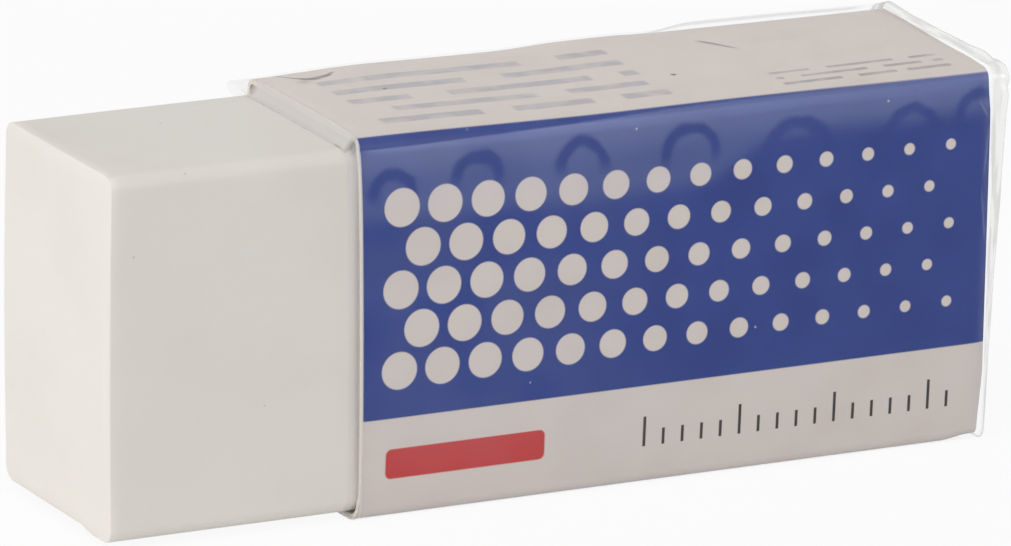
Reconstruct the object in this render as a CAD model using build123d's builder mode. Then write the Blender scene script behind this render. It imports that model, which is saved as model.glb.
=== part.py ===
from build123d import *
import os

# A white vinyl eraser block in a folded card sleeve, with a clear film band round the sleeve.
# +X runs along the block, away from its bare end, -Y is the front panel and +Z is up.
# The origin is at the middle of the face that it rests on.

# Eraser block
block_length = 44.0
block_width = 11.0
block_height = 17.2
block_edge_radius = 0.7  # along the four long edges
block_end_radius = 0.4  # round the rim of each end
block_end_crown = 0.25  # how far each end face bulges, over the height of the block

# Card sleeve: one strip with four folds and a glue flap inside the bottom panel
card_thickness = 0.23
card_length = 33.0
card_fold_radius = 0.3  # inside each fold
card_side_play = 0.05  # between the block and each side panel
card_top_play = 0.15
flap_width = 8.0
seam_setback = 0.6  # from the back face to the bottom panel's free edge
bare_length = 12.85  # of the block, left of the sleeve's mouth

# Clear film band: one strip wound once, with a welded lap down its back
film_thickness = 0.05
film_slack = 0.04
film_lap_width = 4.0
film_mouth_overhang = 0.5  # past the card, over the bare part of the block
film_tail_overhang = 1.0  # past the card at the other end, at the top front corner
film_tail_drop = 0.45  # the tail is cut aslant: how much shorter it is at the bottom
film_tail_skew = 0.45  # and at the back

# Places along the length
overall_length = max(block_length, bare_length + card_length + film_tail_overhang)
block_start = -overall_length / 2
mouth = block_start + bare_length
card_end = mouth + card_length

# Levels of the bottom layers: film, bottom panel, glue flap, block
card_bottom = film_thickness
panel_top = card_bottom + card_thickness
flap_top = panel_top + card_thickness
block_middle = flap_top + block_height / 2

# Inside and outside of the sleeve, and inside of the film
sleeve_half_width = block_width / 2 + card_side_play
sleeve_ceiling = flap_top + block_height + card_top_play
card_half_width = sleeve_half_width + card_thickness
card_top = sleeve_ceiling + card_thickness
film_half_width = card_half_width + film_slack
film_ceiling = card_top + film_slack


def strip_section(corners, fold_radius, thickness):
    # A strip seen end on: the corners run along its inner face, and its thickness lies outside
    with BuildSketch() as section:
        with BuildLine():
            FilletPolyline(*corners, radius=fold_radius)
            offset(amount=thickness, side=Side.RIGHT)
        make_face()
    return section.sketch


# Eraser block: a rounded bar whose ends are trimmed by two large spheres
crown_radius = (block_height**2 / 4 + block_end_crown**2) / (2 * block_end_crown)
crown_centres = [
    (block_start + crown_radius, 0, block_middle),
    (block_start + block_length - crown_radius, 0, block_middle),
]
with BuildPart() as eraser_block:
    with BuildSketch(Plane.YZ.offset(block_start)):
        with Locations((0, block_middle)):
            RectangleRounded(block_width, block_height, block_edge_radius)
    extrude(amount=block_length)
    for centre in crown_centres:
        with Locations(centre):
            Sphere(crown_radius, mode=Mode.INTERSECT)
    fillet(eraser_block.faces().filter_by(GeomType.SPHERE).edges(), radius=block_end_radius)
eraser_block.part.label = "eraser_block"

# Card sleeve: the strip starts at the glue flap's edge, goes up the back, over the top and down
# the front, and its bottom panel closes under the flap, glued to it
flap_edge = (sleeve_half_width - flap_width, flap_top)
front_middle = (-sleeve_half_width, block_middle)
flap_to_front = [
    flap_edge,
    (sleeve_half_width, flap_top),
    (sleeve_half_width, sleeve_ceiling),
    (-sleeve_half_width, sleeve_ceiling),
    front_middle,
]
front_to_seam = [
    front_middle,
    (-sleeve_half_width, panel_top),
    (card_half_width - seam_setback, panel_top),
]
with BuildPart() as card_sleeve:
    with BuildSketch(Plane.YZ.offset(mouth)):
        add(strip_section(flap_to_front, card_fold_radius, card_thickness))
        add(strip_section(front_to_seam, card_fold_radius, card_thickness))
    extrude(amount=card_length)
card_sleeve.part.label = "card_sleeve"

# Clear film band: a thin tube round the card, doubled at its lap, its tail end cut aslant
film_start = mouth - film_mouth_overhang
film_tip = card_end + film_tail_overhang
film_inner_width = 2 * film_half_width
film_inner_height = film_ceiling - card_bottom
film_outer_width = film_inner_width + 2 * film_thickness
film_outer_height = film_inner_height + 2 * film_thickness
film_middle = card_bottom + film_inner_height / 2
film_fold_radius = card_fold_radius + card_thickness
tail_normal = (1, film_tail_skew / film_outer_width, -film_tail_drop / film_outer_height)
tail_corner = (film_tip, -film_outer_width / 2, film_outer_height)
with BuildPart() as film_band:
    with BuildSketch(Plane.YZ.offset(film_start)):
        with Locations((0, film_middle)):
            RectangleRounded(film_outer_width, film_outer_height, film_fold_radius + film_thickness)
            RectangleRounded(film_inner_width, film_inner_height, film_fold_radius, mode=Mode.SUBTRACT)
        with Locations(((film_outer_width + film_thickness) / 2, film_middle)):
            Rectangle(film_thickness, film_lap_width)
    extrude(amount=film_tip - film_start)
    split(bisect_by=Plane(origin=tail_corner, z_dir=tail_normal), keep=Keep.BOTTOM)
film_band.part.label = "film_band"

os.makedirs("parts", exist_ok=True)
export_step(eraser_block.part, "parts/eraser_block.step")
export_step(card_sleeve.part, "parts/card_sleeve.step")
export_step(film_band.part, "parts/film_band.step")
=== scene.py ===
import math

import bmesh
import bpy
from mathutils import Matrix, Vector, noise


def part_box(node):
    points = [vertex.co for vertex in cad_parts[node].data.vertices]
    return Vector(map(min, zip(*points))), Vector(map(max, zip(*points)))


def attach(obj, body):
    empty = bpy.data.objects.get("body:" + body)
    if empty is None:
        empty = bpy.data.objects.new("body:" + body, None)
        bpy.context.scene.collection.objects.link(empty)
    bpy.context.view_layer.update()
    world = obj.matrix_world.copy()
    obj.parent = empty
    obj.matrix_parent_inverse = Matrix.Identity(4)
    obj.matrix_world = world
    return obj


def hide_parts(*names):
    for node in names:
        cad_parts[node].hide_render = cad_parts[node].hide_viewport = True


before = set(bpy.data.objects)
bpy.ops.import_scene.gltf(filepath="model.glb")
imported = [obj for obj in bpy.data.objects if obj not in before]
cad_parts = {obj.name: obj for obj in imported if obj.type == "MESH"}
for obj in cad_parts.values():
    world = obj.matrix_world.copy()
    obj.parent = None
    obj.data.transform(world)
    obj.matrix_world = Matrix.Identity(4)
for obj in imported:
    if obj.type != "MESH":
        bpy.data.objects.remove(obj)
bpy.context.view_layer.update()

mm = 0.001
uvScale = 100  # millimetres to one unit of a UV map
sharpAngle = 40  # degrees: edges that turn more than this stay sharp


def spanOf(node):
    low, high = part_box(node)
    return low / mm, high / mm


def smooth(low, high, value):
    share = min(1.0, max(0.0, (value - low) / (high - low)))
    return share * share * (3 - 2 * share)


def fromSrgb(*levels):
    # a colour read off a screen, 0 to 255, as the linear colour that shaders use
    shares = [level / 255 for level in levels]
    return tuple(s / 12.92 if s < 0.04045 else ((s + 0.055) / 1.055) ** 2.4 for s in shares) + (1.0,)


class Wire:
    # wraps one socket of a material, so that sums on it add Math nodes
    def __init__(self, tree, socket=None):
        self.tree = tree
        self.socket = socket

    def node(self, kind, settings=None, sockets=None, out=0):
        made = self.tree.nodes.new(kind)
        for name, value in (settings or {}).items():
            setattr(made, name, value)
        for name, value in (sockets or {}).items():
            if isinstance(value, Wire):
                self.tree.links.new(value.socket, made.inputs[name])
            else:
                made.inputs[name].default_value = value
        return Wire(self.tree, made.outputs[out])

    def maths(self, operation, *values):
        return self.node("ShaderNodeMath", {"operation": operation}, dict(enumerate(values)))

    def __add__(self, other):
        return self.maths("ADD", self, other)

    def __radd__(self, other):
        return self.maths("ADD", other, self)

    def __sub__(self, other):
        return self.maths("SUBTRACT", self, other)

    def __rsub__(self, other):
        return self.maths("SUBTRACT", other, self)

    def __mul__(self, other):
        return self.maths("MULTIPLY", self, other)

    def __rmul__(self, other):
        return self.maths("MULTIPLY", other, self)

    def __truediv__(self, other):
        return self.maths("DIVIDE", self, other)

    def __mod__(self, other):
        return self.maths("FLOORED_MODULO", self, other)

    def __abs__(self):
        return self.maths("ABSOLUTE", self)

    def atMost(self, other):
        return self.maths("MINIMUM", self, other)

    def atLeast(self, other):
        return self.maths("MAXIMUM", self, other)

    def root(self):
        return self.maths("SQRT", self)

    def floor(self):
        return self.maths("FLOOR", self)

    def sine(self):
        return self.maths("SINE", self)

    def ramp(self, low, high, toLow=0.0, toHigh=1.0):
        ends = {"Value": self, "From Min": low, "From Max": high, "To Min": toLow, "To Max": toHigh}
        return self.node("ShaderNodeMapRange", {"interpolation_type": "SMOOTHSTEP"}, ends)

    def between(self, low, high, blur):
        # 1 from low to high
        return self.ramp(low - blur, low + blur) * self.ramp(high + blur, high - blur)

    def layered(self, under, over, share):
        # one colour laid over another
        return self.node("ShaderNodeMix", {"data_type": "RGBA"}, {0: share, 6: under, 7: over}, 2)

    def noise(self, place, scale, detail=3.0, roughness=0.5):
        values = {"Vector": place, "Scale": scale, "Detail": detail, "Roughness": roughness}
        return self.node("ShaderNodeTexNoise", {}, values)

    def stretched(self, scale):
        return self.node("ShaderNodeVectorMath", {"operation": "MULTIPLY"}, {0: self, 1: scale})

    def distance(self, point):
        return self.node("ShaderNodeVectorMath", {"operation": "DISTANCE"}, {0: self, 1: point}, "Value")

    def parts(self):
        split = self.node("ShaderNodeSeparateXYZ", {}, {0: self}).socket.node
        return [Wire(self.tree, output) for output in split.outputs]

    def bump(self, height, distance, strength):
        values = {"Height": height, "Distance": distance, "Strength": strength}
        return self.node("ShaderNodeBump", {}, values)

    def onto(self, socket):
        self.tree.links.new(self.socket, socket)


def newFinish(name):
    # an empty material with its output: gives the material, a wire to build from and the surface socket
    material = bpy.data.materials.new(name)
    material.use_nodes = True
    tree = material.node_tree
    tree.nodes.clear()
    output = tree.nodes.new("ShaderNodeOutputMaterial")
    return material, Wire(tree), output.inputs["Surface"]


def barMask(across, up, middle, half, rounding, blur):
    # 1 inside a bar with round corners
    overX = abs(across - middle[0]) - (half[0] - rounding)
    overY = abs(up - middle[1]) - (half[1] - rounding)
    outX = overX.atLeast(0.0)
    outY = overY.atLeast(0.0)
    gap = (outX * outX + outY * outY).root() + overX.atLeast(overY).atMost(0.0) - rounding
    return gap.ramp(blur, -blur)


def distanceFrom(across, up, middle):
    offX = across - middle[0]
    offY = up - middle[1]
    return (offX * offX + offY * offY).root()


def spotMask(across, up, middle, radius, blur):
    return distanceFrom(across, up, middle).ramp(radius + blur, radius - blur)


def strokeMask(across, up, start, end, width):
    # 1 along a straight scratch, fading at its sides and ends
    wayX, wayY = end[0] - start[0], end[1] - start[1]
    length = math.hypot(wayX, wayY)
    offX = across - start[0]
    offY = up - start[1]
    run = (offX * wayX + offY * wayY) / length
    side = abs(offX * wayY - offY * wayX) / length
    return side.ramp(width, 0.0) * run.ramp(0.0, length / 3) * run.ramp(length, length * 2 / 3)


def largest(masks):
    top = masks[0]
    for mask in masks[1:]:
        top = top.atLeast(mask)
    return top


def buildPiece(name, points, faces, finishes, uvName=None, uvs=None):
    # points in millimetres; each face is (corners, finish number)
    mesh = bpy.data.meshes.new(name)
    mesh.from_pydata([Vector(p) * mm for p in points], [], [face[0] for face in faces])
    for finish in finishes:
        mesh.materials.append(finish)
    mesh.polygons.foreach_set("material_index", [face[1] for face in faces])
    if uvName:
        layer = mesh.uv_layers.new(name=uvName)
        for loop in mesh.loops:
            layer.data[loop.index].uv = uvs[loop.vertex_index]
    work = bmesh.new()
    work.from_mesh(mesh)
    bmesh.ops.recalc_face_normals(work, faces=work.faces)
    work.to_mesh(mesh)
    work.free()
    mesh.polygons.foreach_set("use_smooth", [True] * len(mesh.polygons))
    mesh.set_sharp_from_angle(angle=math.radians(sharpAngle))
    piece = bpy.data.objects.new(name, mesh)
    bpy.context.scene.collection.objects.link(piece)
    return piece


def evenSteps(start, end, pitch):
    count = max(1, round((end - start) / pitch))
    return [start + (end - start) * i / count for i in range(count + 1)]


# The eraser block: a soft bar with rounded edges and slightly bulged ends

cardLow, cardHigh = spanOf("card_sleeve")
blockLow, blockHigh = spanOf("eraser_block")
block = {
    "edgeRadius": 0.7,
    "endRadius": 0.4,
    "crown": 0.25,       # how far each end bulges, over the height
    "rimSteps": 6,
    "pitch": 0.55,
    "dent": 0.03,        # how far the faces dip
    "dentShares": (0.65, 0.35),  # of that: all over, and more or less here and there
    "dentSize": 5.0,
    "settle": 0.19,      # how far it sags in front of the card's glue flap, which it lies on
    "settleReach": 3.5,
    "skew": {"all": 0.04, "front": 0.16, "bottom": 0.18, "reach": 4.0},
    "colour": (238, 233, 226),
    "shadeColour": (230, 225, 216),
    "shadeShare": 0.5,
    "cloudScale": 160.0,
    "grainScale": 5200.0,
    "grainDepth": 0.00002,
    "speckColour": (128, 122, 116),
    "speckShare": 0.55,
    "speckBlur": 0.05,
    "specks": [          # from the mouth of the sleeve, across, up; and the radius
        ((-8.5, -5.35, 17.55), 0.09),
        ((-11.1, -5.5, 13.9), 0.04),
        ((-4.4, -5.5, 6.1), 0.035),
        ((-6.2, 2.1, 17.66), 0.06),
    ],
    "roughness": (0.52, 0.66),
    "glow": 0.12,
    "glowDepth": 0.001,
    "glowRadius": (1.0, 0.9, 0.75),
}


def vinylFinish():
    material, wire, surface = newFinish("whiteVinyl")
    place = wire.node("ShaderNodeTexCoord", out="Object")
    cloud = wire.noise(place, block["cloudScale"], 3.0)
    grain = wire.noise(place, block["grainScale"], 2.0)
    shade = cloud.ramp(0.4, 0.8) * block["shadeShare"]
    colour = wire.layered(fromSrgb(*block["colour"]), fromSrgb(*block["shadeColour"]), shade)
    blur = block["speckBlur"]
    specks = []
    for (fromMouth, across, up), radius in block["specks"]:
        gap = place.distance(Vector((cardLow.x + fromMouth, across, up)) * mm) / mm
        specks.append(gap.ramp(radius + blur, radius - blur))
    colour = wire.layered(colour, fromSrgb(*block["speckColour"]), largest(specks) * block["speckShare"])
    shader = wire.node(
        "ShaderNodeBsdfPrincipled",
        {},
        {
            "Base Color": colour,
            "Roughness": grain.ramp(0.2, 0.8, *block["roughness"]),
            "Normal": wire.bump(grain * 0.6 + cloud * 0.4, block["grainDepth"], 0.5),
            "Specular IOR Level": 0.35,
            "Subsurface Weight": block["glow"],
            "Subsurface Radius": block["glowRadius"],
            "Subsurface Scale": block["glowDepth"],
        },
    )
    shader.onto(surface)
    return material


def blockStops(half, radius):
    # places across one face of the block, closer together round the rim
    flat = half - radius
    steps = block["rimSteps"]
    rim = [radius * math.tan(math.pi / 4 * i / steps) for i in range(1, steps + 1)]
    middle = evenSteps(-flat, flat, block["pitch"])
    return [-flat - r for r in reversed(rim)] + middle + [flat + r for r in rim]


def endSkew(place, half):
    # the bare end is cut a little out of square: how far in it lies
    skew = block["skew"]
    ahead = (half.y - place.y) / (2 * half.y)
    below = (half.z - place.z) / (2 * half.z)
    depth = skew["all"] + skew["front"] * ahead + skew["bottom"] * below
    return depth * smooth(skew["reach"] - half.x, -half.x, place.x)


def makeBlock():
    half = (blockHigh - blockLow) / 2
    centre = (blockHigh + blockLow) / 2
    radii = Vector((block["endRadius"], block["edgeRadius"], block["edgeRadius"]))
    crownRadius = (half.z**2 + block["crown"] ** 2) / (2 * block["crown"])
    flapEdge = cardHalf - sleeve["thickness"] - sleeve["flapWidth"]
    even, varied = block["dentShares"]
    stops = [blockStops(half[a], radii[a]) for a in range(3)]
    last = [len(s) - 1 for s in stops]
    numbers = {}
    points = []

    def pointAt(key):
        if key in numbers:
            return numbers[key]
        box = Vector([stops[a][key[a]] for a in range(3)])
        inner = Vector([min(half[a] - radii[a], max(radii[a] - half[a], box[a])) for a in range(3)])
        way = Vector([(box[a] - inner[a]) / radii[a] for a in range(3)]).normalized()
        place = inner + Vector([way[a] * radii[a] for a in range(3)])
        sag = (place.y**2 + place.z**2) / (2 * crownRadius)
        place.x -= math.copysign(sag * abs(way.x), place.x)
        dip = even + varied * noise.noise(place / block["dentSize"])
        place -= way * block["dent"] * dip
        low = smooth(block["settleReach"] - half.z, -half.z, place.z)
        place.z -= block["settle"] * low * smooth(0.0, 1.0, flapEdge - place.y)
        place.x += endSkew(place, half)
        numbers[key] = len(points)
        points.append(centre + place)
        return numbers[key]

    faces = []
    for axis in range(3):
        first, second = [a for a in range(3) if a != axis]
        for side in (0, last[axis]):
            for i in range(last[first]):
                for j in range(last[second]):
                    corners = []
                    for di, dj in ((0, 0), (1, 0), (1, 1), (0, 1)):
                        key = [0, 0, 0]
                        key[axis], key[first], key[second] = side, i + di, j + dj
                        corners.append(pointAt(tuple(key)))
                    faces.append((corners, 0))
    piece = buildPiece("block_soft", points, faces, [vinylFinish()])
    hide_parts("eraser_block")
    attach(piece, "block")
    print("block:", len(points), "points")


# Strips of card and film, seen end on

def foldedPath(corners, radius, pitch, foldSteps):
    # walks along a strip's inner face: gives (y, z), the way out, the run, and the panel's number
    # and share, and then the run at the middle of each fold
    samples = []
    folds = []
    run = 0.0
    lastPanel = len(corners) - 2
    bend = radius * math.pi / 2
    for panel in range(lastPanel + 1):
        start, end = Vector(corners[panel]), Vector(corners[panel + 1])
        way = (end - start).normalized()
        out = Vector((way.y, -way.x))
        start = start + way * (radius if panel > 0 else 0.0)
        end = end - way * (radius if panel < lastPanel else 0.0)
        length = (end - start).length
        for step in evenSteps(0.0, length, pitch):
            samples.append((start + way * step, out, run + step, panel, step / length))
        run += length
        if panel < lastPanel:
            hub = end - out * radius
            folds.append(run + bend / 2)
            for i in range(1, foldSteps):
                turned = Matrix.Rotation(math.pi / 2 * i / foldSteps, 2) @ out
                samples.append((hub + turned * radius, turned, run + bend * i / foldSteps, panel, 1.0))
            run += bend
    return samples, folds


def lengthStops(start, end, pitch, fine, reach):
    # places along the length, closer together near the two cut ends
    return (
        evenSteps(start, start + reach, fine)[:-1]
        + evenSteps(start + reach, end - reach, pitch)
        + evenSteps(end - reach, end, fine)[1:]
    )


def stripSolid(columns, placeAt, depths):
    # a closed thin solid from a grid of cells on a strip, each an x and a sample of its path
    points = []
    uvs = []
    wide = len(columns)
    high = len(columns[0])
    for depth in depths:
        for column in columns:
            for x, sample in column:
                points.append(placeAt(x, sample, depth))
                uvs.append(((x - cardLow.x) / uvScale, sample[2] / uvScale))
    layer = wide * high

    def at(side, i, j):
        return side * layer + i * high + j

    faces = []
    for i in range(wide - 1):
        for j in range(high - 1):
            faces.append(([at(0, i, j), at(0, i, j + 1), at(0, i + 1, j + 1), at(0, i + 1, j)], 1))
            faces.append(([at(1, i, j), at(1, i + 1, j), at(1, i + 1, j + 1), at(1, i, j + 1)], 0))
    for i in range(wide - 1):
        for j in (0, high - 1):
            faces.append(([at(0, i, j), at(0, i + 1, j), at(1, i + 1, j), at(1, i, j)], 2))
    for j in range(high - 1):
        for i in (0, wide - 1):
            faces.append(([at(0, i, j), at(1, i, j), at(1, i, j + 1), at(0, i, j + 1)], 2))
    return points, uvs, faces


# The card sleeve: one printed strip, folded round the block

sleeve = {
    "thickness": 0.23,
    "foldRadius": 0.3,
    "foldSteps": 6,
    "flapWidth": 8.0,
    "seamSetback": 0.6,
    "glueGap": 0.004,
    "pitch": 0.7,
    "lengthPitch": 0.8,
    "endPitch": 0.1,
    "endReach": 2.0,
    "bow": 0.18,         # how far the panels stand out at their middles
    "bowEdge": 50,       # the higher, the sharper they turn in at the cut ends
    # how far the mouth stands open at the top; fromHeight is a share of the card's height
    "mouthLift": {"rise": 0.2, "reach": 14.0, "fromHeight": 0.4},
    # and how far the back fold stands up, with a bump; fromDepth is a share of the card's depth
    "backLift": {"rise": 0.2, "fromDepth": 0.3, "start": 6.0, "fade": 0.5, "fadeStart": 20.0},
    "backBump": {"rise": 0.11, "place": 17.0, "reach": (4.5, 1.0)},
    # top, topFromFold and footHeight are shares of the card's height
    "mouthSlant": {"depth": 0.42, "top": 0.97, "topFromFold": 0.953, "foot": 0.4, "footHeight": 0.06},
    "tailPress": {"depth": 0.2, "core": 0.5, "topReach": 3.0, "bottomReach": 4.5, "bottom": 1.3,
                  "front": 0.3},
    "tailSlant": {"depth": 0.3, "start": 2.0},
    "crush": {"rise": 0.17, "core": 0.5, "length": 2.0, "width": 3.0, "height": 1.2},
    "inside": ((214, 209, 200), (196, 190, 180), 1500.0),
    "cutEdge": ((240, 234, 222), (226, 217, 202), 4000.0),
    "boardRoughness": (0.75, 0.92),
    "boardDepth": 0.00002,
}
cardLength = cardHigh.x - cardLow.x
cardHalf = (cardHigh.y - cardLow.y) / 2
cardHeight = cardHigh.z - cardLow.z
flap, back, top, front, bottom = range(5)  # the card's panels, in the order of the strip


def panelBow(x, share):
    # panels stand out a little and turn in sharply at the cut ends
    along = min(1.0, abs(2 * (x - cardLow.x) / cardLength - 1))
    across = 2 * share - 1
    return sleeve["bow"] * (1 - along ** sleeve["bowEdge"]) * (1 - across**4)


def mouthCut(place, panel):
    # the mouth is cut aslant on the front: how far in its edge lies
    slant = sleeve["mouthSlant"]
    up = (place.y - cardLow.z) / cardHeight
    rear = (place.x + cardHalf) / (2 * cardHalf)
    if panel == front:
        foot = slant["foot"] + (1 - slant["foot"]) * smooth(0.0, slant["footHeight"], up)
        return slant["depth"] * math.sqrt(max(0.0, slant["top"] - up)) * foot
    if panel == bottom:
        return slant["depth"] * slant["foot"] * (1 - rear)
    return 0.0


def tailCut(place, panel):
    # the far end's front corners are pressed in, and its top runs out towards the back
    press = sleeve["tailPress"]
    slant = sleeve["tailSlant"]
    if panel not in (top, front, bottom):
        return -slant["depth"] if panel == back else 0.0
    fromFront = place.x + cardHalf
    toTop = math.hypot(fromFront, cardHigh.z - place.y)
    toBottom = math.hypot(fromFront, place.y - cardLow.z)
    pressed = max(
        smooth(press["topReach"], press["core"], toTop),
        press["bottom"] * smooth(press["bottomReach"], press["core"], toBottom),
        press["front"] if panel == front else 0.0,
    )
    rear = smooth(slant["start"], 2 * cardHalf, fromFront) if panel == top else 0.0
    return press["depth"] * pressed - slant["depth"] * rear


def cutAcross(height):
    # the same slant of the mouth, for a finish: (up from the bottom fold) to (from the mouth)
    slant = sleeve["mouthSlant"]
    return (slant["topFromFold"] - height / cardHeight).atLeast(0.0).root() * slant["depth"]


def topRise(x, spot):
    # the sleeve's top lifts towards its mouth, and along its back fold
    mouth = sleeve["mouthLift"]
    fold = sleeve["backLift"]
    bump = sleeve["backBump"]
    high = smooth(mouth["fromHeight"], 1.0, (spot.y - cardLow.z) / cardHeight)
    rear = smooth(fold["fromDepth"], 1.0, (spot.x + cardHalf) / (2 * cardHalf))
    fromMouth = x - cardLow.x
    fading = 1 - fold["fade"] * smooth(fold["fadeStart"], cardLength, fromMouth)
    atFold = fold["rise"] * smooth(0.0, fold["start"], fromMouth) * fading
    atBump = bump["rise"] * smooth(*bump["reach"], abs(fromMouth - bump["place"]))
    atMouth = mouth["rise"] * smooth(mouth["reach"], 0.0, fromMouth)
    return high * (atMouth + rear * (atFold + atBump))


def cornerCrush(x, spot):
    # how far the card's lower front corner is squashed at its far end
    crush = sleeve["crush"]
    along = smooth(crush["length"], crush["core"], cardHigh.x - x)
    across = smooth(crush["width"], crush["core"], spot.x + cardHalf)
    return crush["rise"] * along * across * smooth(crush["height"], 0.0, spot.y - cardLow.z)


def cardPath():
    thick = sleeve["thickness"]
    half = cardHalf - thick
    panelTop = cardLow.z + thick
    flapTop = panelTop + thick + sleeve["glueGap"]
    ceiling = cardHigh.z - thick
    corners = [
        (half - sleeve["flapWidth"], flapTop),
        (half, flapTop),
        (half, ceiling),
        (-half, ceiling),
        (-half, panelTop),
        (cardHalf - sleeve["seamSetback"], panelTop),
    ]
    return foldedPath(corners, sleeve["foldRadius"], sleeve["pitch"], sleeve["foldSteps"])


# What is printed on the card, and a painted crease shadow on its top panel. Places are (from the mouth,
# up from the bottom fold), in millimetres.
printing = {
    "card": (230, 220, 213),
    "cardShade": (220, 208, 199),
    "cardShadeShare": 0.4,
    "ink": (52, 73, 147),
    "inkShade": (46, 66, 140),
    "red": (209, 70, 66),
    "dark": (66, 60, 58),
    "fibreScale": 2600.0,
    "fibreDepth": 0.000012,
    "mottleScale": 420.0,
    "roughness": (0.42, 0.55),
    "fieldBottom": 4.5,
    "margin": 0.05,      # left bare along the cut edge
    "wrap": (0.12, 0.0),  # how far the field runs over the top fold, at wrapStart and at the far end
    "wrapStart": 17.0,
    "blur": 0.045,
    "dots": {"left": 1.1, "right": 32.0, "low": 5.8, "rows": 5, "pitch": 2.2, "bigRadius": 0.9,
             "smallRadius": 0.26, "slack": 0.1, "overlap": 0.2},
    "redBar": ((5.7, 2.3), (4.1, 0.72), 0.3),  # middle, half its size, rounding
    "scale": {"start": 15.0, "marks": 17, "pitch": 1.0, "longEvery": 5, "foot": 1.55, "short": 0.8,
              "long": 1.45, "half": 0.075},
    "lines": {"colour": (116, 122, 158), "first": 2.0, "pitch": 1.62, "rows": 5, "height": 0.48,
              "start": 2.1, "end": 17.0, "strength": 0.42},
    "smallLines": {"colour": (96, 90, 92), "first": 8.1, "pitch": 0.78, "rows": 3, "height": 0.2,
                   "start": 22.6, "end": 31.4, "strength": 0.5},
    # two waves that part the dashes: how fast each turns along a row, and its shift from row to row
    "dashWaves": ((2.1, 4.7), (1.3, 2.9)),
    "dashGap": (-1.1, -0.8),
    "wornScale": 900.0,
    "wornShares": (0.55, 1.0),
    # painted shadow of a crease in the film, painted shade beside it, and real scratches and specks on
    # the top panel: places are (from the mouth, from the back fold)
    "shadowAndWearColour": (104, 96, 94),
    "shadowAndWearShares": {"crease": 0.85, "shade": 0.3, "scratch": 0.75},
    # the crease is drawn as painted shadow, and creaseShade as a spot of painted shade below it
    "crease": {"middle": (2.45, 1.75), "half": 1.45, "bend": 1.4, "lean": 0.5, "width": 0.33,
               "ragged": 0.5, "raggedScale": 1500.0, "patchy": (0.7, 1.0)},
    "creaseShade": ((1.75, 2.05), 0.3),
    "scratches": [((21.95, 2.5), (23.35, 4.5), 0.16), ((21.85, 2.35), (22.9, 3.85), 0.22)],
    "topSpots": [((4.64, 4.6), 0.1), ((18.4, 7.0), 0.13)],
}


def dotsMask(across, height):
    # staggered rows of dots that shrink along the field
    dots = printing["dots"]
    rowPitch = dots["pitch"] * math.sqrt(3) / 2
    row = ((height - dots["low"]) / rowPitch).floor()
    shift = row % 2.0 * (dots["pitch"] / 2)
    column = ((across - dots["left"] - shift) / dots["pitch"]).floor()
    middleX = (column + 0.5) * dots["pitch"] + dots["left"] + shift
    middleY = (row + 0.5) * rowPitch + dots["low"]
    radius = middleX.ramp(dots["left"], dots["right"], dots["bigRadius"], dots["smallRadius"])
    offX = across - middleX
    offY = height - middleY
    gap = (offX * offX + offY * offY).root() - radius
    reach = dots["pitch"] / 2 - dots["overlap"]
    inside = middleX.between(dots["left"] + reach, dots["right"] - reach, dots["slack"])
    inside = inside * row.between(-0.5, dots["rows"] - 0.5, dots["slack"])
    return gap.ramp(printing["blur"], -printing["blur"]) * inside


def scaleMask(across, height):
    # short upright marks at an even pitch, every fifth one long
    scale = printing["scale"]
    count = ((across - scale["start"]) / scale["pitch"] + 0.5).floor()
    side = abs(across - scale["start"] - count * scale["pitch"])
    isLong = (count % float(scale["longEvery"])).ramp(0.5, 0.4)
    reach = scale["foot"] + scale["short"] + isLong * (scale["long"] - scale["short"])
    blur = printing["blur"] / 2
    tall = (height - scale["foot"]).ramp(-blur, blur) * (reach - height).ramp(-blur, blur)
    inside = count.between(-0.5, scale["marks"] - 0.5, 0.1)
    return side.ramp(scale["half"] + blur, scale["half"] - blur) * tall * inside


def linesMask(across, depth, lines, worn):
    # rows of plain dashes of uneven length
    row = ((depth - lines["first"]) / lines["pitch"]).floor()
    offset = abs(depth - lines["first"] - (row + 0.5) * lines["pitch"])
    thin = lines["height"]
    inRow = offset.ramp(thin, thin * 0.5) * row.between(-0.5, lines["rows"] - 0.5, 0.1)
    first, second = [
        (across * turn / lines["pitch"] + row * shift).sine() for turn, shift in printing["dashWaves"]
    ]
    dashes = (first + second).ramp(*printing["dashGap"])
    inside = across.between(lines["start"], lines["end"], 0.1)
    return inRow * dashes * inside * worn * lines["strength"]


def creaseShadowAndWearMask(across, depth, ragged):
    # a painted shadow along a bent crease with painted shade beside it, and real scratches and specks
    shares = printing["shadowAndWearShares"]
    crease = printing["crease"]
    offX = (across - crease["middle"][0]) / crease["half"]
    curve = crease["middle"][1] - offX * offX * (1.0 - offX * crease["lean"]) * crease["bend"]
    curve = curve + (ragged - 0.5) * crease["ragged"]
    width = (1.0 - offX * offX).atLeast(0.0).root() * crease["width"] + 0.001
    arc = (abs(depth - curve) / width).ramp(1.0, 0.2) * abs(offX).ramp(1.0, 0.8)
    arc = arc * ragged.ramp(0.38, 0.6, *crease["patchy"])
    middle, radius = printing["creaseShade"]
    masks = [arc * shares["crease"], spotMask(across, depth, middle, radius, radius) * shares["shade"]]
    for scratch in printing["scratches"]:
        masks.append(strokeMask(across, depth, *scratch) * shares["scratch"])
    for middle, radius in printing["topSpots"]:
        masks.append(spotMask(across, depth, middle, radius, radius / 2))
    return largest(masks)


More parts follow.
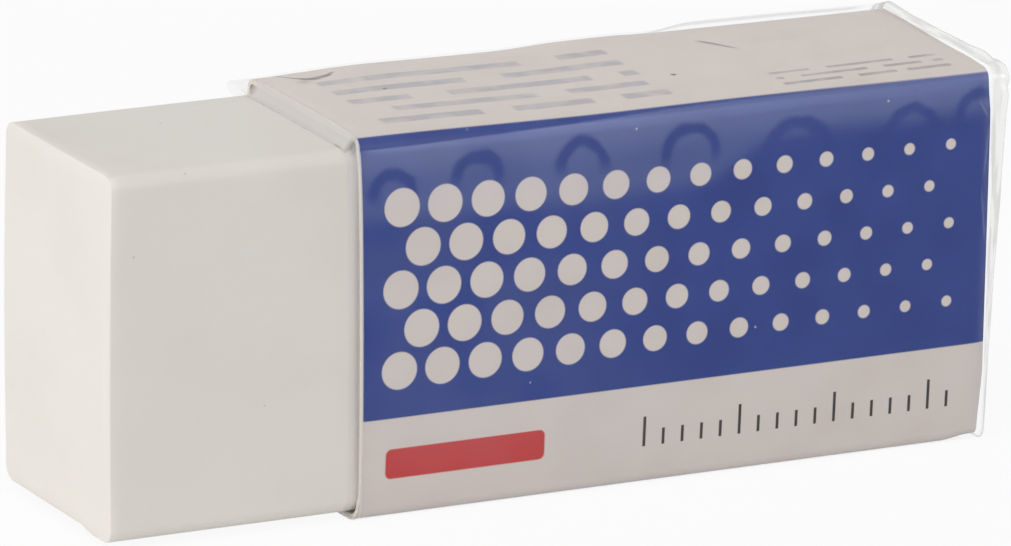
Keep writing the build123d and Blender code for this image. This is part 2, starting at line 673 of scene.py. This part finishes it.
def printedFinish(folds):
    material, wire, surface = newFinish("printedCard")
    across, along, _ = wire.node("ShaderNodeUVMap", {"uv_map": "blank"}).parts()
    across = across * float(uvScale)
    along = along * float(uvScale)
    backBottom, backTop, frontTop, frontBottom = folds
    height = frontBottom - along
    depth = along - backTop
    onTop = along.between(backTop, frontTop, printing["blur"])
    onFront = along.between(frontTop, frontBottom, printing["blur"])
    place = wire.node("ShaderNodeTexCoord", out="Object")
    fibre = wire.noise(place, printing["fibreScale"], 2.0)
    mottle = wire.noise(place, printing["mottleScale"], 2.0)
    worn = wire.noise(place, printing["wornScale"], 2.0).ramp(0.35, 0.6, *printing["wornShares"])
    ragged = wire.noise(place, printing["crease"]["raggedScale"], 2.0)

    cardShaded = mottle.ramp(0.4, 0.8) * printing["cardShadeShare"]
    inkShaded = mottle.ramp(0.35, 0.7)
    paper = wire.layered(fromSrgb(*printing["card"]), fromSrgb(*printing["cardShade"]), cardShaded)
    ink = wire.layered(fromSrgb(*printing["ink"]), fromSrgb(*printing["inkShade"]), inkShaded)

    # the blue field, on the front and the back, with its white shapes on the front
    blur = printing["blur"]
    onBack = along.between(backBottom + printing["fieldBottom"], backTop, blur)
    fieldTop = frontBottom - frontTop + across.ramp(printing["wrapStart"], cardLength, *printing["wrap"])
    field = height.ramp(printing["fieldBottom"] - blur, printing["fieldBottom"] + blur)
    field = field * (fieldTop - height).ramp(-blur, blur)
    field = field.atLeast(onBack)
    field = field * (across - cutAcross(height) - printing["margin"]).ramp(-blur, blur)
    shapes = dotsMask(across, height) * onFront
    colour = wire.layered(paper, ink, field * (1.0 - shapes))

    # the strip below the field
    bar = barMask(across, height, *printing["redBar"], blur)
    colour = wire.layered(colour, fromSrgb(*printing["red"]), bar)
    colour = wire.layered(colour, fromSrgb(*printing["dark"]), scaleMask(across, height) * onFront)

    # the top panel
    for lines in (printing["lines"], printing["smallLines"]):
        dashes = linesMask(across, depth, lines, worn) * onTop
        colour = wire.layered(colour, fromSrgb(*lines["colour"]), dashes)
    # painted crease shadow and painted shade, laid in with real scratches and specks
    shadowAndWear = creaseShadowAndWearMask(across, depth, ragged) * onTop
    colour = wire.layered(colour, fromSrgb(*printing["shadowAndWearColour"]), shadowAndWear)

    shader = wire.node(
        "ShaderNodeBsdfPrincipled",
        {},
        {
            "Base Color": colour,
            "Roughness": fibre.ramp(0.3, 0.7, *printing["roughness"]),
            "Normal": wire.bump(fibre, printing["fibreDepth"], 0.4),
            "Specular IOR Level": 0.15,
        },
    )
    shader.onto(surface)
    return material


def boardFinish(name, colour, shade, scale):
    # bare board: the sleeve's inside and its cut edges
    material, wire, surface = newFinish(name)
    place = wire.node("ShaderNodeTexCoord", out="Object")
    fibre = wire.noise(place, scale, 5.0, 0.65)
    shader = wire.node(
        "ShaderNodeBsdfPrincipled",
        {},
        {
            "Base Color": wire.layered(fromSrgb(*colour), fromSrgb(*shade), fibre.ramp(0.35, 0.7)),
            "Roughness": fibre.ramp(0.3, 0.7, *sleeve["boardRoughness"]),
            "Normal": wire.bump(fibre, sleeve["boardDepth"], 0.5),
            "Specular IOR Level": 0.2,
        },
    )
    shader.onto(surface)
    return material


def makeSleeve():
    path, folds = cardPath()
    reach = sleeve["endReach"]
    columns = []
    for x in lengthStops(cardLow.x, cardHigh.x, sleeve["lengthPitch"], sleeve["endPitch"], reach):
        nearMouth = max(0.0, 1 - (x - cardLow.x) / reach)
        nearTail = max(0.0, 1 - (cardHigh.x - x) / reach)
        column = []
        for sample in path:
            cut = mouthCut(sample[0], sample[3]) * nearMouth - tailCut(sample[0], sample[3]) * nearTail
            column.append((x + cut, sample))
        columns.append(column)

    def placeAt(x, sample, depth):
        place, out, _, panel, share = sample
        bow = panelBow(x, share) if panel in (back, top, front) else 0.0
        spot = place + out * (bow + depth)
        crushed = cornerCrush(x, spot) * depth / sleeve["thickness"]
        return (x, spot.x, spot.y + topRise(x, spot) + crushed)

    points, uvs, faces = stripSolid(columns, placeAt, (0.0, sleeve["thickness"]))
    finishes = [
        printedFinish(folds),
        boardFinish("boardInside", *sleeve["inside"]),
        boardFinish("boardEdge", *sleeve["cutEdge"]),
    ]
    piece = buildPiece("sleeve_folded", points, faces, finishes, "blank", uvs)
    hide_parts("card_sleeve")
    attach(piece, "sleeve")
    print("sleeve:", len(points), "points")


# The clear film band: one strip wound round the card, lapped down the back

filmLow, _ = spanOf("film_band")
film = {
    "thickness": 0.05,
    "foldSteps": 6,
    "lap": 4.0,
    "lapStep": (1.0, 5.0),  # up from the bottom fold, where the outer lap steps off the inner one
    "pitch": 0.42,
    "lengthShares": (0.0125, 0.004, 0.06),  # of the length: pitch, pitch near the ends, and how near
    "tightGap": 0.012,   # at the folds
    "looseGap": 0.1,     # most, in the middle of a panel
    "looseEdge": 3.0,
    "loosePatch": 4.5,
    # start, fadeStart: shares of the card's length
    "topBackLift": {"rise": 0.3, "reach": 3.5, "start": (0.62, 0.7), "fade": 0.3, "fadeStart": 0.8},
    "mouthReach": cardLow.x - filmLow.x,
    # from the block's full outline to the lip that leans in; the block's dents lie inside it
    "lipGap": -0.008,
    "ear": {"length": 0.6, "reach": (1.3, 0.2)},
    "edgeWave": {"depth": 0.02, "plane": 9.0, "scale": 0.6},
    "tail": {"topFront": 0.82, "bottomFront": 0.1, "topBack": 0.62, "bottomBack": 0.3, "curve": 1.3},
    "flare": {"slope": 0.22, "even": 0.5, "varied": 0.3, "plane": 3.0, "scale": 0.9},
    "crumple": {"slope": 0.5, "reach": (2.6, 0.4), "scale": 1.7},  # of its far end's top front corner
    "sheen": (0.88, 0.87, 0.87, 1.0),
    "frontSheen": (0.70, 0.76, 1.0, 1.0),
    "sheenRoughness": 0.2,
    "veil": (0.82, 0.81, 0.79, 1.0),
    # painted shade: the lip's milky colour is darker, so the lip, which faces the key lamp, looks no
    # brighter than the block's top
    "lipShadedColour": (0.74, 0.71, 0.67, 1.0),
    "rim": (0.66, 0.65, 0.65, 1.0),
    "undersideShares": {"mouth": 0.008, "tail": 0.012, "mouthTop": 0.0},
    "rimShares": {"mouth": 0.03, "tail": 0.42, "mouthTop": 0.9},
    "rimTop": {"back": 0.9, "front": 1.2, "blur": 0.6, "reach": 1.0},
    "patchScale": 210.0,
    "wobble": 0.6,
    "wobbleScale": 700.0,
    "scuffScale": (300.0, 1400.0, 1400.0),
    "scuffShare": 0.012,
    "least": 0.009,      # share of light that the film throws back where it clings to the card
    "upper": 0.066,      # and adds where it stands off, higher up the front
    "upperFoot": (17.0, 22.0, 13.4, 15.3),  # two places along the front, and how high it starts there
    "upperBlur": 1.4,
    "highest": 0.055,
    "highestFoot": (15.6, 17.2),
    "leftPatch": 0.03,
    "leftReach": (20.0, 6.0),
    "foldBand": {"low": 0.7, "high": 0.28, "blur": 0.15, "share": 0.35},  # down from the top front fold
    "atGrazing": 0.13,
    "farEdge": 0.05,
    "farEdgeReach": (0.7, 0.2),
    "hazeLeast": 0.004,
    "tailVeil": (0.26, 0.74),
    "fanScale": (2.2, 0.3),
    "tailCorner": {"share": 0.7, "reach": (2.2, 0.4), "scale": (1500.0, 700.0, 350.0)},
    "lipVeil": (0.8, 0.03),  # round the mouth, and on the front
    "lipShares": (0.9, 1.0),  # at the lip's own edge, and from lipInner of its reach on
    "lipInner": 0.62,
    "lipFront": (0.7, 0.5),  # past the front's two folds, and inside them
    "earClear": {"share": 0.9, "reach": (1.5, 0.6)},
    "edgeVeil": 0.6,     # on the front, right beside the card's cut edge
    "backCrease": {"share": 0.3, "width": (0.16, 0.03), "start": 20.5, "beforeEnd": 0.8, "blur": 0.6},
    # where it touches the card on the front: (from the mouth, up from the bottom fold), radius
    "rings": [((1.65, 15.15), 1.0), ((5.95, 15.55), 1.05), ((11.4, 15.65), 1.1), ((17.0, 15.5), 1.35),
              ((22.6, 14.95), 1.6), ((28.7, 15.2), 1.3), ((32.4, 15.6), 1.3)],
    "ringWidth": (0.45, 0.1125),
    "ringOpen": (-0.7, 0.3),  # up from a ring's middle: open below
    "clingShare": 0.85,
    "clingStrip": 0.45,  # along the top front fold, narrowing from the mouth
    "clingBlur": 0.05,
    "clingReach": (20.0, 12.0),
    "creases": [((32.85, 15.6), (32.5, 12.3), 0.1), ((32.4, 12.6), (32.75, 9.4), 0.1),
                ((32.2, 16.6), (32.85, 15.5), 0.1)],
    "creaseShine": 0.09,
    "dust": [((5.56, 17.85), 0.06), ((14.2, 17.1), 0.05), ((20.6, 6.9), 0.05), ((8.9, 5.6), 0.04),
             ((27.4, 17.0), 0.05)],
    "dustBlur": 0.04,
    "dustShare": 0.7,
}
# the film's panels, in the order of the strip
lapStart, filmTop, filmFront, filmBottom, lapEnd = range(5)


def filmPath():
    # starts and ends on the back, one lap over the other
    half = cardHalf + film["tightGap"]
    low = cardLow.z
    high = cardHigh.z + film["tightGap"]
    middle = (low + high) / 2
    corners = [
        (half, middle - film["lap"] / 2),
        (half, high),
        (-half, high),
        (-half, low),
        (half, low),
        (half, middle + film["lap"] / 2),
    ]
    radius = sleeve["foldRadius"] + sleeve["thickness"]
    return foldedPath(corners, radius, film["pitch"], film["foldSteps"])


def filmLift(x, place, panel):
    # how far the film stands off the card
    if panel == filmBottom:
        return 0.0
    if panel == filmTop:
        edge = cardHalf - abs(place.x)
        share = (place.x + cardHalf) / (2 * cardHalf)
    else:
        edge = min(cardHigh.z - place.y, place.y - cardLow.z)
        share = (place.y - cardLow.z) / cardHeight
    share = min(1.0, max(0.0, share))
    patch = 0.5 + 0.5 * noise.noise(Vector((x, place.x, place.y)) / film["loosePatch"])
    lift = panelBow(x, share) + smooth(0.0, film["looseEdge"], edge) * film["looseGap"] * patch
    fold = film["topBackLift"]
    nearFold = smooth(fold["reach"], 0.0, math.hypot(place.x - cardHalf, place.y - cardHigh.z))
    lengthShare = (x - cardLow.x) / cardLength
    fading = 1 - fold["fade"] * smooth(fold["fadeStart"], 1.0, lengthShare)
    lift += nearFold * fold["rise"] * smooth(*fold["start"], lengthShare) * fading
    if panel == lapEnd:
        lift += (film["thickness"] + film["tightGap"]) * smooth(*film["lapStep"], place.y - cardLow.z)
    past = max(0.0, x - cardHigh.x)
    flare = film["flare"]
    ripple = noise.noise(Vector((place.x, place.y, flare["plane"])) * flare["scale"])
    lift += flare["slope"] * past * (flare["even"] + flare["varied"] * ripple)
    crumple = film["crumple"]
    nearCorner = smooth(*crumple["reach"], math.hypot(place.x + cardHalf, place.y - cardHigh.z))
    ripple = noise.noise(Vector((x, place.x, place.y)) * crumple["scale"])
    lift += crumple["slope"] * past * nearCorner * ripple
    return max(lift, 0.0)


def onBlock(spot):
    # the place on the block's outline, seen end on, that lies nearest
    radius = block["edgeRadius"]
    coreY = min(blockHigh.y - radius, max(blockLow.y + radius, spot.x))
    coreZ = min(blockHigh.z - radius, max(blockLow.z + radius, spot.y))
    core = Vector((coreY, coreZ))
    return core + (spot - core).normalized() * (radius + film["lipGap"])


def mouthEnd(place, panel):
    # where the card under the film ends at the mouth; the card has one panel more, its flap
    return cardLow.x + mouthCut(place, panel + 1)


def earShare(place):
    # 1 at the top back fold, where the film stands out at the mouth as a small ear
    return smooth(*film["ear"]["reach"], math.hypot(place.x - cardHalf, place.y - cardHigh.z))


def tailReach(place):
    # how far the film stands past the card at its far end
    tail = film["tail"]
    up = min(1.0, max(0.0, (place.y - cardLow.z) / cardHeight))
    rear = min(1.0, max(0.0, (place.x + cardHalf) / (2 * cardHalf)))
    atFront = tail["bottomFront"] + (tail["topFront"] - tail["bottomFront"]) * up ** tail["curve"]
    atBack = tail["bottomBack"] + (tail["topBack"] - tail["bottomBack"]) * up
    return atFront + (atBack - atFront) * rear


def clingMask(across, height, fullHeight, wobble):
    # where the film touches the card on the front: open rings, and a strip along the top fold
    bentAcross = across + wobble
    bentHeight = height + wobble
    masks = []
    for middle, radius in film["rings"]:
        gap = abs(distanceFrom(bentAcross, bentHeight, middle) - radius)
        masks.append(gap.ramp(*film["ringWidth"]) * (height - middle[1]).ramp(*film["ringOpen"]))
    blur = film["clingBlur"]
    strip = fullHeight - across.ramp(0.0, film["clingReach"][0], film["clingStrip"], 0.0)
    masks.append((height - strip).ramp(-blur, blur) * across.ramp(*film["clingReach"]))
    return largest(masks)


def filmFinish(folds):
    material, wire, surface = newFinish("clearFilm")
    across, along, _ = wire.node("ShaderNodeUVMap", {"uv_map": "wound"}).parts()
    across = across * float(uvScale)
    along = along * float(uvScale)
    topBack, topFront, bottomFront, _ = folds
    fullHeight = bottomFront - topFront
    height = bottomFront - along
    onFront = along.between(topFront, bottomFront, 0.1)
    place = wire.node("ShaderNodeTexCoord", out="Object")
    patches = wire.noise(place, film["patchScale"], 2.0)
    wobble = (wire.noise(place, film["wobbleScale"], 2.0) - 0.5) * film["wobble"]
    scuffs = wire.noise(place.stretched(film["scuffScale"]), 1.0, 2.0, 0.6)

    # where the film stands off the card it throws back more light; where it clings it nearly vanishes
    foot = across.ramp(*film["upperFoot"])
    upper = (height - foot).ramp(0.0, film["upperBlur"]) * film["upper"]
    highest = height.ramp(*film["highestFoot"]) * film["highest"]
    leftPatch = across.ramp(*film["leftReach"]) * patches.ramp(0.35, 0.6) * film["leftPatch"]
    clinging = clingMask(across, height, fullHeight, wobble) * film["clingShare"]
    band = film["foldBand"]
    folded = height.between(fullHeight - band["low"], fullHeight - band["high"], band["blur"])
    shine = (upper + highest + leftPatch) * (1.0 - clinging) * (1.0 - folded * band["share"])
    creases = largest([strokeMask(across, height, *crease) for crease in film["creases"]])
    farEdge = across.ramp(*[cardLength - gap for gap in film["farEdgeReach"]])
    shine = shine + creases * film["creaseShine"] + farEdge * film["farEdge"]
    facing = wire.node("ShaderNodeLayerWeight", {}, {"Blend": 0.5}, "Facing")
    shine = film["least"] + shine * onFront + facing * facing * film["atGrazing"]

    # milky in streaks past the card's far end
    past = across.ramp(cardLength - 0.15, cardLength + 0.1)
    tail = film["tail"]
    up = (height / fullHeight).atMost(1.0).atLeast(0.0)
    reach = up * (tail["topFront"] - tail["bottomFront"]) + tail["bottomFront"]
    fanAcross, fanAlong = film["fanScale"]
    fanPlace = {0: (across - cardLength) / reach * fanAcross, 1: along * fanAlong}
    fan = wire.node("ShaderNodeCombineXYZ", {}, fanPlace)
    corner = film["tailCorner"]
    atCorner = abs(along - topFront).ramp(*corner["reach"]) * corner["share"]
    crumpled = wire.noise(place.stretched(corner["scale"]), 1.0, 2.0)
    streaks = wire.noise(fan, 1.0, 3.0) * (1.0 - atCorner) + crumpled * atCorner

    # where it leans in to the block, but hardly on the front and at the ear
    nearEar = abs(along - topBack).ramp(*film["earClear"]["reach"]) * film["earClear"]["share"]
    outside, inside = film["lipFront"]
    fromMiddle = abs(along - (topFront + bottomFront) / 2)
    nearFront = fromMiddle.ramp(fullHeight / 2 + outside, fullHeight / 2 - inside)
    fromCut = across - cutAcross(height) * height.ramp(-0.5, 0.2)
    atLip = fromCut.ramp(0.06, -0.04)
    lipReach = film["mouthReach"]
    lip = atLip * fromCut.ramp(-lipReach, -lipReach * film["lipInner"], *film["lipShares"])
    lip = lip * (1.0 - nearEar) * nearFront.ramp(0.0, 1.0, *film["lipVeil"])
    lip = lip.atLeast(atLip * nearFront * fromCut.ramp(-0.26, -0.04) * film["edgeVeil"])

    # and along the crease at the back, in scuffs and on specks of dust
    crease = film["backCrease"]
    backCrease = across.between(crease["start"], cardLength - crease["beforeEnd"], crease["blur"])
    backCrease = abs(along - topBack).ramp(*crease["width"]) * backCrease * crease["share"]
    blur = film["dustBlur"]
    dust = largest([spotMask(across, height, middle, radius, blur) for middle, radius in film["dust"]])
    haze = film["hazeLeast"] + scuffs.ramp(0.62, 0.85) * film["scuffShare"]
    haze = haze + past * streaks.ramp(0.42, 0.6, *film["tailVeil"])
    haze = largest([haze, lip, backCrease, dust * onFront * film["dustShare"]])

    clear = wire.node("ShaderNodeBsdfTransparent")
    # the milky colour, with painted shade on the lip where it faces the key lamp
    milkWithLipShade = wire.layered(film["veil"], film["lipShadedColour"], atLip)
    veil = wire.node(
        "ShaderNodeBsdfPrincipled", {}, {"Base Color": milkWithLipShade, "Roughness": 0.6, "Specular IOR Level": 0.2}
    )
    gloss = wire.node(
        "ShaderNodeBsdfPrincipled",
        {},
        {
            "Base Color": wire.layered(film["sheen"], film["frontSheen"], onFront * (1.0 - past)),
            "Metallic": 1.0,
            "Roughness": film["sheenRoughness"],
        },
    )
    layer = wire.node("ShaderNodeMixShader", {}, {0: haze, 1: clear, 2: veil})
    wire.node("ShaderNodeMixShader", {}, {0: shine, 1: layer, 2: gloss}).onto(surface)
    return material


def thinFinish(name, colour, roughness, shares, folds):
    # a faint layer over what lies behind: the film's underside and its cut rim
    material, wire, surface = newFinish(name)
    across, along, _ = wire.node("ShaderNodeUVMap", {"uv_map": "wound"}).parts()
    across = across * float(uvScale)
    along = along * float(uvScale)
    topBack, topFront = folds[:2]
    top = film["rimTop"]
    lipTop = along.between(topBack + top["back"], topFront - top["front"], top["blur"])
    lipTop = lipTop * across.ramp(top["reach"], 0.0)
    share = across.ramp(0.0, cardLength, shares["mouth"], shares["tail"])
    share = share.atLeast(lipTop * shares["mouthTop"])
    veil = wire.node("ShaderNodeBsdfPrincipled", {}, {"Base Color": colour, "Roughness": roughness})
    clear = wire.node("ShaderNodeBsdfTransparent")
    wire.node("ShaderNodeMixShader", {}, {0: share, 1: clear, 2: veil}).onto(surface)
    return material


def makeFilm():
    path, folds = filmPath()
    edge = film["edgeWave"]
    columns = []
    for share in lengthStops(0.0, 1.0, *film["lengthShares"]):
        column = []
        for sample in path:
            place, panel = sample[0], sample[3]
            wave = edge["depth"] * noise.noise(Vector((place.x, place.y, edge["plane"])) * edge["scale"])
            ear = film["ear"]["length"] * earShare(place)
            start = mouthEnd(place, panel) - film["mouthReach"] - ear - wave
            end = cardHigh.x + tailReach(place) + wave
            column.append((start + (end - start) * share, sample))
        columns.append(column)

    def placeAt(x, sample, depth):
        place, out, _, panel, _ = sample
        spot = place + out * filmLift(x, place, panel)
        spot.y += topRise(x, spot)
        past = smooth(0.0, film["mouthReach"], mouthEnd(place, panel) - x) * (1 - earShare(place))
        spot = spot.lerp(onBlock(spot), past) + out * depth
        return (x, spot.x, max(spot.y, 0.0))

    points, uvs, faces = stripSolid(columns, placeAt, (0.0, film["thickness"]))
    finishes = [
        filmFinish(folds),
        thinFinish("filmUnderside", film["veil"], 0.5, film["undersideShares"], folds),
        thinFinish("filmRim", film["rim"], 0.35, film["rimShares"], folds),
    ]
    piece = buildPiece("film_wrap", points, faces, finishes, "wound", uvs)
    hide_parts("film_band")
    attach(piece, "sleeve")
    print("film:", len(points), "points")


# Floor, light and camera

studio = {
    "floorSize": 4.0,
    "floorColour": (0.86, 0.86, 0.86, 1.0),
    "floorLift": 0.92,       # share of plain white that the camera sees in the floor
    "ambient": 0.45,
    "aim": (0.0, 0.0, 9.0),
    "lamps": {
        "keyLeft": {"place": (-1000, -120, 211), "size": 600, "power": 4.4},
        "overhead": {"place": (-150, -80, 330), "size": 280, "power": 0.305},
        "front": {"place": (240, -1120, 191), "size": 760, "power": 2.16},
    },
}


def seenDirectly(wire):
    # 1 for rays from the camera, in mirrors and through clear film
    path = wire.node("ShaderNodeLightPath").socket.node
    names = ("Is Camera Ray", "Is Glossy Ray", "Is Transmission Ray")
    camera, glossy, through = [Wire(wire.tree, path.outputs[name]) for name in names]
    return (camera + glossy + through).atMost(1.0)


def makeFloor():
    material, wire, surface = newFinish("paleFloor")
    share = seenDirectly(wire) * studio["floorLift"]
    matt = wire.node("ShaderNodeBsdfDiffuse", {}, {"Color": studio["floorColour"]})
    white = wire.node("ShaderNodeEmission", {}, {"Color": (1.0, 1.0, 1.0, 1.0), "Strength": 1.0})
    wire.node("ShaderNodeMixShader", {}, {0: share, 1: matt, 2: white}).onto(surface)
    side = studio["floorSize"] / 2
    mesh = bpy.data.meshes.new("floor")
    corners = [(-side, -side, 0), (side, -side, 0), (side, side, 0), (-side, side, 0)]
    mesh.from_pydata(corners, [], [(0, 1, 2, 3)])
    mesh.materials.append(material)
    floor = bpy.data.objects.new("floor", mesh)
    bpy.context.scene.collection.objects.link(floor)


def makeWorld():
    world = bpy.data.worlds.new("whiteRoom")
    bpy.context.scene.world = world
    world.use_nodes = True
    tree = world.node_tree
    tree.nodes.clear()
    wire = Wire(tree)
    strength = studio["ambient"] + seenDirectly(wire) * (1.0 - studio["ambient"])
    sky = wire.node("ShaderNodeBackground", {}, {"Color": (1.0, 1.0, 1.0, 1.0), "Strength": strength})
    sky.onto(tree.nodes.new("ShaderNodeOutputWorld").inputs["Surface"])


def makeLamps():
    aim = Vector(studio["aim"]) * mm
    for name, lamp in studio["lamps"].items():
        data = bpy.data.lights.new(name, "AREA")
        data.size = lamp["size"] * mm
        data.energy = lamp["power"]
        spot = bpy.data.objects.new(name, data)
        spot.location = Vector(lamp["place"]) * mm
        spot.rotation_euler = (aim - spot.location).to_track_quat("-Z", "Y").to_euler()
        bpy.context.scene.collection.objects.link(spot)


viewpoint = {
    "azimuth": -27.40,       # degrees, 0 looks along +Y
    "elevation": 16.39,
    "roll": 1.23,
    "distance": 556.9,       # mm, from the target
    "pastMouth": 10.64,      # the target, from the sleeve's mouth
    "targetHeight": 9.17,
    "focalPixels": 12000.0,
    "imageWidth": 1011.0,
    "sensor": 36.0,
}


def makeCamera():
    azimuth = math.radians(viewpoint["azimuth"])
    elevation = math.radians(viewpoint["elevation"])
    level = math.cos(elevation)
    away = Vector((math.sin(azimuth) * level, -math.cos(azimuth) * level, math.sin(elevation)))
    right = Vector((0.0, 0.0, 1.0)).cross(away).normalized()
    up = away.cross(right)
    roll = Matrix.Rotation(math.radians(viewpoint["roll"]), 3, "Z")
    turn = Matrix((right, up, away)).transposed() @ roll
    data = bpy.data.cameras.new("photoView")
    data.sensor_width = viewpoint["sensor"]
    data.lens = viewpoint["focalPixels"] * viewpoint["sensor"] / viewpoint["imageWidth"]
    camera = bpy.data.objects.new("photoView", data)
    target = Vector((cardLow.x + viewpoint["pastMouth"], 0.0, viewpoint["targetHeight"]))
    place = (target + away * viewpoint["distance"]) * mm
    camera.matrix_world = Matrix.Translation(place) @ turn.to_4x4()
    bpy.context.scene.collection.objects.link(camera)
    bpy.context.scene.camera = camera


makeCamera()
makeFloor()
makeWorld()
makeLamps()
print("stage: camera, floor and lamps")
makeBlock()
makeSleeve()
makeFilm()
bpy.context.scene.view_settings.view_transform = "Standard"
